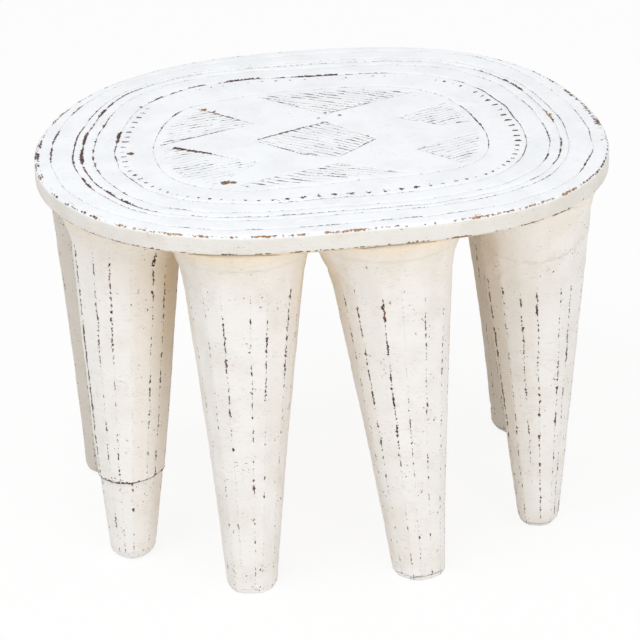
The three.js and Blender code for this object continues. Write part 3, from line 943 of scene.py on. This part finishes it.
def rimValues(points, insets, angles, top):  # mm to the nearest of the rim's lines, its wear and its tan
    edge = np.full(len(points), 9.0)
    wear, tan = np.full(len(points), -1.0), np.zeros(len(points))
    for line in rimLines:
        value, tanness = strokeValues(angles, line["strokes"])
        stray = line["stray"] * bumps(points * (1, 1, 0), 12, line["inset"])
        off = np.hypot(insets - line["inset"] - stray, points[:, 2] - top + line["below"])
        wear = np.where(off < edge, line["wear"] + value, wear)
        tan = np.where(off < edge, np.where(value > 0, tanness, 0), tan)
        edge = np.minimum(edge, off)
    return edge, wear, tan * (edge < 4)


def carveSeat(bm, outline, top):
    points = pointsOf(bm)
    insets, around = rimPlaces(points, outline)
    angles = np.degrees(np.arctan2(points[:, 1], points[:, 0])) % 360
    tick = around * ticks["count"]
    onTop = points[:, 2] > top - 0.01
    inMiddle = insets > seat["inside"]
    uneven = 0.72 + 0.5 * bumps(points, 17, 3)
    depth, wear, width = ringCuts(insets, angles, uneven)
    tickDepth, tickWear, tickWidth, inTicks, tickLength = tickCuts(points, insets, angles, tick, uneven)
    number, inside, border, which, along = regionValues(points, insets)
    hatchDepth, hatchWear, hatchWidth = hatchCuts(points, number, inside, border, which, uneven)
    depth = np.maximum(np.maximum(depth, tickDepth), hatchDepth)
    wear = np.where(inMiddle, hatchWear, np.where(inTicks, tickWear, wear))
    width = np.where(inMiddle, hatchWidth, np.where(inTicks, tickWidth, width))
    spot, spotTan = spotValues(points)
    edge, edgeWear, edgeTan = rimValues(points, insets, angles, top)
    chipped = ease(bumps(points, 5, 9) + edgeWear * 0.6, 0.35, 0.8) * ease(-edge, -3, -0.5) * (insets < 3)
    # The adze left the top and rim a little uneven, and the cuts wander.
    moved = points.copy()
    moved[:, 2] -= np.where(onTop, depth + spot * 0.8, 0)
    hollow = seat["hollow"] * (1 + bumps(points, 60, 1)) * 0.8 + chipped * 0.8
    moved[:, 2] -= np.where(points[:, 2] > top - 4, hollow, 0)
    onRim = (insets < 4) & (points[:, 2] > top - seat["rimHeight"] - 0.01)
    dent = seat["rimDent"] * (0.55 + 0.5 * bumps(points, 33, 2) + 0.25 * bumps(points, 9, 4))
    lean = np.where(onRim, (dent + chipped * 1.1) * ease(points[:, 2], top - 16, top - 13), 0)
    stray = seat["wander"] * bumps(points, 26, 6) * ease(insets, 4, 12) + driftOf(angles, insets)
    inward = -points[:, :2] / np.hypot(points[:, 0], points[:, 1])[:, None]
    moved[:, :2] += inward * (lean + np.where(onTop, stray, 0))[:, None]
    movePoints(bm, moved)
    chips = seat["chips"]
    values = {
        "hatch": number,
        "along": along,
        "region": np.where(inMiddle, inside, -20),
        "border": border,
        "wear": wear,
        "lineWidth": width,
        "tickLength": tickLength,
        "edge": edge,
        "edgeWear": edgeWear,
        "tan": np.maximum(edgeTan, spotTan),
        "spots": np.where(onTop, spot, 0),
        "chips": np.where(onTop, np.where(insets < 6, chips["edge"], chips["top"]), chips["rim"]),
        # 1 on the rim's side, which gets the darker rim colours (painted shade) and brush strokes
        "side": ease(-points[:, 2], -(top - 1.2), -(top - 3.2)),
        # the rim's lowest mm gets the yellowed tint, which also paints the shade under the rim
        "yellowingAndShade": ease(-points[:, 2], -(top - 15), -(top - 17)) * 0.8,
    }
    return values, tick, insets


def writeCarvingMap(mesh, tick, inset):  # across: tick number; up: mm in from the rim
    corners = np.zeros(len(mesh.loops), int)
    mesh.loops.foreach_get("vertex_index", corners)
    u = tick[corners].reshape(-1, 3)
    seam = u.max(1) - u.min(1) > ticks["count"] / 2
    u[seam] = np.where(u[seam] < ticks["count"] / 2, u[seam] + ticks["count"], u[seam])
    uv = np.stack([u.ravel(), inset[corners]], 1).astype(np.float32)
    mesh.uv_layers.new(name="carving").uv.foreach_set("vector", uv.ravel())


def makeSeat():
    bm, outline, top = buildSeatMesh()
    values, tick, inset = carveSeat(bm, outline, top)
    thing = newObject("painted_seat", bm)
    keepValues(thing.data, values)
    writeCarvingMap(thing.data, tick, inset)
    thing.data.materials.append(seatMaterial())
    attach(thing, "root")
    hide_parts("seat")
    print("seat:", len(thing.data.polygons), "triangles")


# Legs

legShape = {
    "levels": 2.4,  # height between level cuts
    "finest": 2.6,  # longest edge
    "arrisAngle": 9.0,  # an edge bent more than this is an arris
    "rounding": 0.35,  # the arrises are worn back this far
    "waver": 0.9,  # and wander sideways
    "scallop": 0.45,
    "line": 1.6,  # half width of a worn line
    "crack": 0.06,
    "whole": 1.4,  # how little the roots are worn above the facets
    "jointWear": 0.2,  # how worn the splice's edges are
    "chips": {"all": 0.052, "low": 0.02, "top": -0.03},  # how chipped: all over, more low down, less above
    "lump": 0.5,
    "pit": 0.8,
    "lip": 1.3,  # height of the step round a root
    "rootSmoothing": 30,
    "brush": 0.45,  # depth of the level brush marks
    "stillTop": (272.0, 284.0),  # nothing moves above, where the leg meets the seat
}
# How far under the slab the facets begin, how worn the arrises are, and a seed for each leg.
# A stroke is a worn or whole patch: its angle round the leg from the front, how far it reaches to each
# side, from and to in mm under the slab, and how much more worn it is. A lip is a step round the root:
# angles, and how far under the slab it runs there.
legWear = {
    "left_front_leg": {"facets": 20, "wear": 0.0, "seed": 1, "strokes": [
        (-78, 14, 20, 215, 0.65), (-38, 9, 30, 120, 0.3), (-18, 8, 30, 110, 0.4), (5, 11, 0, 215, -0.7),
        (31, 8, 15, 60, 0.35), (48, 9, 60, 140, 0.3)]},
    "front_left_leg": {"facets": 34, "wear": -0.05, "seed": 2, "strokes": [
        (7, 10, 60, 210, 0.05), (24, 8, 55, 120, 0.35), (45, 9, 25, 110, 0.6), (-24, 8, 60, 120, 0.15),
        (0, 180, 150, 290, -0.15)]},
    "front_right_leg": {"facets": 40, "wear": 0.0, "seed": 3, "strokes": [
        (-14, 8, 45, 170, 0.3), (-40, 9, 35, 180, 0.25), (31, 9, 60, 150, 0.25), (8, 8, 60, 130, -0.3),
        (0, 180, 190, 290, -0.15)]},
    "right_front_leg": {"facets": 72, "wear": 0.08, "seed": 4, "strokes": [
        (-80, 14, 66, 215, 0.6), (-13, 8, 70, 115, 0.4), (-36, 9, 80, 150, 0.3), (36, 9, 64, 150, 0.4),
        (6, 8, 170, 220, 0.4)],
        "lip": [(-100, 34), (-80, 42), (-66, 48), (-46, 51), (-22, 54), (0, 54), (21, 51),
                (45, 46), (100, 36)]},
    # the back legs are darkened all over: grime, and painted shade
    "right_back_leg": {"facets": 30, "wear": 0.0, "seed": 5, "grimeAndShade": 0.3},
    "back_right_leg": {"facets": 34, "wear": 0.0, "seed": 6},
    "back_left_leg": {"facets": 28, "wear": 0.0, "seed": 7},
    "left_back_leg": {"facets": 26, "wear": 0.0, "seed": 8, "grimeAndShade": 0.6},
    "spliced_foot": {"facets": 0, "wear": -0.15, "seed": 9},
}


def refineLeg(bm, slab):  # level cuts all the way up, then the wide faces split; the arrises stay
    flat = []
    for e in bm.edges:
        slope = abs(e.verts[0].co.z - e.verts[1].co.z)
        side = all(abs(f.normal.z) < 0.9 for f in e.link_faces)
        if side and slope > 0.4 * mm and e.calc_face_angle(0) < math.radians(4):
            flat.append(e)
    bmesh.ops.dissolve_edges(bm, edges=flat, use_verts=False)
    level = legShape["levels"] * 0.7
    while level < slab - 0.5:
        geom = list(bm.faces) + list(bm.edges) + list(bm.verts)
        place, up = (0, 0, level * mm), (0, 0, 1)
        bmesh.ops.bisect_plane(bm, geom=geom, dist=0.05 * mm, plane_co=place, plane_no=up)
        level += legShape["levels"]
    for _ in range(5):
        edges = [e for e in bm.edges if e.calc_length() > legShape["finest"] * mm
                 and min(v.co.z for v in e.verts) < (slab - 0.5) * mm
                 and any(abs(f.normal.z) < 0.9 for f in e.link_faces)]
        bmesh.ops.subdivide_edges(bm, edges=edges, cuts=1, use_grid_fill=True)
        bmesh.ops.triangulate(bm, faces=[f for f in bm.faces if len(f.verts) > 4])
    bmesh.ops.triangulate(bm, faces=bm.faces)
    removeTwins(bm)


def smoothRoot(bm, slab, depth):  # the facets fade out into a smooth root
    sharp = {v for e in bm.edges if e.calc_face_angle(0) > math.radians(32) for v in e.verts}
    for above in (0, 9):
        verts = [v for v in bm.verts if v not in sharp and 8 < slab - v.co.z / mm < depth - above]
        for _ in range(legShape["rootSmoothing"] // 2):
            bmesh.ops.smooth_vert(bm, verts=verts, factor=0.5, use_axis_x=True, use_axis_y=True)


def refineLip(bm, slab, middle, lip):  # small triangles along the step
    for longest in (1.9, 1.3):
        wanted = []
        for e in bm.edges:
            at = (e.verts[0].co + e.verts[1].co) / 2 / mm
            angle = math.degrees(math.atan2(at.x - middle[0], middle[1] - at.y))
            below = slab - at.z - np.interp(angle, *zip(*lip))
            if e.calc_length() > longest * mm and abs(below) < 4.5 and abs(angle) < 110:
                wanted.append(e)
        splitEdges(bm, wanted)


def arrisSegments(bm):  # the long edges between two facets
    found = []
    for e in bm.edges:
        a, b = sorted((v.co for v in e.verts), key=lambda p: p.z)
        upright = (b.z - a.z) > 0.8 * e.calc_length()
        if len(e.link_faces) == 2 and upright and e.calc_face_angle(0) > math.radians(legShape["arrisAngle"]):
            found.append((a / mm, b / mm))
    return np.array([f[0] for f in found]), np.array([f[1] for f in found])


def segmentDistance(points, starts, ends):
    along = ends - starts
    size = (along ** 2).sum(1)
    out = []
    for chunk in np.array_split(points, len(points) // 3000 + 1):
        t = np.clip(((chunk[:, None] - starts) * along).sum(2) / size, 0, 1)
        out.append(np.sqrt(((chunk[:, None] - starts - t[..., None] * along) ** 2).sum(2).min(1)))
    return np.concatenate(out)


def jointPlane(bm):  # the sloping cut where the new foot meets its leg, as a normal and a distance in mm
    cut = [f for f in bm.faces if abs(f.normal.z) > 0.95 and 0.05 < f.calc_center_median().z < 0.1]
    if not cut:
        return None
    normal = sum((f.normal * f.calc_area() for f in cut), Vector()).normalized()
    return np.array([*normal, normal @ cut[0].verts[0].co / mm])


def legAxes():  # each leg's middle at its foot and its top
    axes = {}
    for name in legWear:
        if name == "spliced_foot":
            continue
        points = np.array([v.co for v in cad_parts[name].data.vertices]) / mm
        top = points[points[:, 2] > points[:, 2].max() - 0.05].mean(0)
        low = points[points[:, 2] < points[:, 2].min() + 12].mean(0)
        axes[name] = (low, top)
    return axes


# Yellowed paint and painted warm shade: how much and how far in mm, under the slab, between legs and on their
# inner sides
yellowingAndShadeSpread = {"slab": 0.4, "slabReach": 13, "legReach": 26, "inner": 0.3}


def yellowingAndShadeOf(points, normals, own, axes, slab):  # 0 in the open, 1 where it is well sheltered and gets the most yellowing and painted shade
    yellowingAndShade = yellowingAndShadeSpread["slab"] * np.exp(-np.clip(slab - points[:, 2], 0, None) / yellowingAndShadeSpread["slabReach"])
    for name, (low, top) in axes.items():
        if name == own:
            continue
        t = np.clip((points[:, 2] - low[2]) / (top[2] - low[2]), 0, 1)
        towards = low + (top - low) * t[:, None] - points
        towards[:, 2] = 0
        reach = np.hypot(towards[:, 0], towards[:, 1])
        facing = (normals * towards).sum(1) / reach
        gap = reach - (20 + 28 * t ** 1.1)
        near = np.exp(-np.clip(gap, 0, None) / yellowingAndShadeSpread["legReach"])
        yellowingAndShade = np.maximum(yellowingAndShade, np.clip(facing, 0, 1) * near)
    inward = -(normals[:, 0] * points[:, 0] + normals[:, 1] * points[:, 1])
    inward = inward / np.hypot(points[:, 0], points[:, 1])
    inner = yellowingAndShadeSpread["inner"] * np.clip(inward, 0, 1) * (0.35 + points[:, 2] / slab)
    return np.clip(yellowingAndShade + inner, 0, 1)


def shapeLeg(bm, points, normals, arris, angles, depth, starts, look):
    seed = look["seed"]
    still, full = legShape["stillTop"][1], legShape["stillTop"][0]
    free = ease(-points[:, 2], -still, -full) * ease(points[:, 2], 0.2, 3)
    cut = ease(depth, starts - 8, starts + 8)
    # Arrises worn round and wavering, facets scalloped along, lumpy all over, and pitted here and there
    push = legShape["rounding"] * ease(-arris, -2.2, 0) * cut
    push += legShape["scallop"] * (0.5 + 0.5 * bumps(points * (1, 1, 0.6), 12, seed)) * cut
    push += legShape["lump"] * (0.5 + 0.5 * bumps(points, 30, seed + 20))
    push += legShape["pit"] * ease(bumps(points, 6, seed + 40), 0.5, 0.8)
    push += legShape["brush"] * (0.5 + 0.5 * bumps(points * (0.3, 0.3, 1), 5.5, seed + 50))
    if "lip" in look:
        below = depth - np.interp(angles, *zip(*look["lip"])) - 1.2 * bumps(points, 10, seed + 70)
        front = ease(angles, -100, -85) * ease(-angles, -75, -50)
        push -= legShape["lip"] * ease(below, -0.9, 0.5) * np.exp(-np.maximum(below, 0) / 9) * front
    sideways = np.stack([-normals[:, 1], normals[:, 0], np.zeros(len(points))], 1)
    waver = legShape["waver"] * bumps(points * (1, 1, 0.45), 12, seed + 80) * free * cut
    movePoints(bm, points - normals * (push * free)[:, None] + sideways * waver[:, None])


def arrisWear(points, angles, depth, starts, look):
    wear = look["wear"] - legShape["whole"] * (1 - ease(depth, starts - 2, starts + 5))
    wear += 0.25 * bumps(points * (1, 1, 0.2), 14, look["seed"] + 60)
    for angle, reach, above, below, strength in look.get("strokes", []):
        here = ease(-np.abs(angles - angle), -reach - 2, -reach + 2)
        wear += strength * here * ease(depth, above - 4, above + 4) * ease(-depth, -below - 4, -below + 4)
    return wear


def legChips(points, slab):
    amount = legShape["chips"]
    low = amount["low"] * ease(-points[:, 2], -120, 0)
    return amount["all"] + low + amount["top"] * ease(points[:, 2], slab - 30, slab - 8)


def makeLeg(name, axes, material):
    look = legWear[name]
    bm = nodeMesh(name)
    plane = jointPlane(bm)
    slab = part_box("seat")[0].z / mm
    arrisLow, arrisHigh = arrisSegments(bm)
    refineLeg(bm, slab)
    if "lip" in look:
        refineLip(bm, slab, axes[name][1], look["lip"])
    if look["facets"]:
        smoothRoot(bm, slab, look["facets"] - 4)
    points, normals = pointsOf(bm), normalsOf(bm)
    arris = segmentDistance(points, arrisLow, arrisHigh)
    own = "left_front_leg" if name == "spliced_foot" else name
    low, high = axes[own]
    middle = low + (high - low) * ((points[:, 2] - low[2]) / (high[2] - low[2]))[:, None]
    angles = np.degrees(np.arctan2(points[:, 0] - middle[:, 0], middle[:, 1] - points[:, 1]))
    depth = slab - points[:, 2]
    starts = look["facets"] + 9 * bumps(points * (1, 1, 0), 14, look["seed"] + 30)
    shapeLeg(bm, points, normals, arris, angles, depth, starts, look)
    thing = newObject("painted_" + name, bm)
    wear = arrisWear(points, angles, depth, starts, look)
    if plane is not None:
        joint = np.abs(points @ plane[:3] - plane[3])
        wear = np.where(joint < arris, legShape["jointWear"] + 0.9 * bumps(points, 11, 91), wear)
        arris = np.minimum(arris, joint)
    values = {
        "arris": arris,
        "wear": wear,
        "yellowingAndShade": yellowingAndShadeOf(points, normals, own, axes, slab),
        "grimeAndShade": np.full(len(points), look.get("grimeAndShade", 0.0)),
        "chips": legChips(points, slab),
    }
    keepValues(thing.data, values)
    thing.data.materials.append(material)
    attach(thing, "root")
    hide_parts(name)
    print(name + ":", len(thing.data.polygons), "triangles")


scene = bpy.context.scene
scene.view_settings.view_transform = "Standard"
groups = {
    "wornLine": wornLineGroup(), "chips": chipsGroup(), "wood": woodGroup(),
    "paint": paintGroup(), "brush": brushGroup(),
}
placeCamera()
placeLamp("key")
placeLamp("fill")
makeSky()
makeFloor()
print("camera, lamps and floor placed")
makeSeat()
axes = legAxes()
legPaint = legMaterial()
for name in legWear:
    makeLeg(name, axes, legPaint)
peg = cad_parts["splice_dowel"]
peg.data.materials.clear()
peg.data.materials.append(pegMaterial())
print("peg finished")
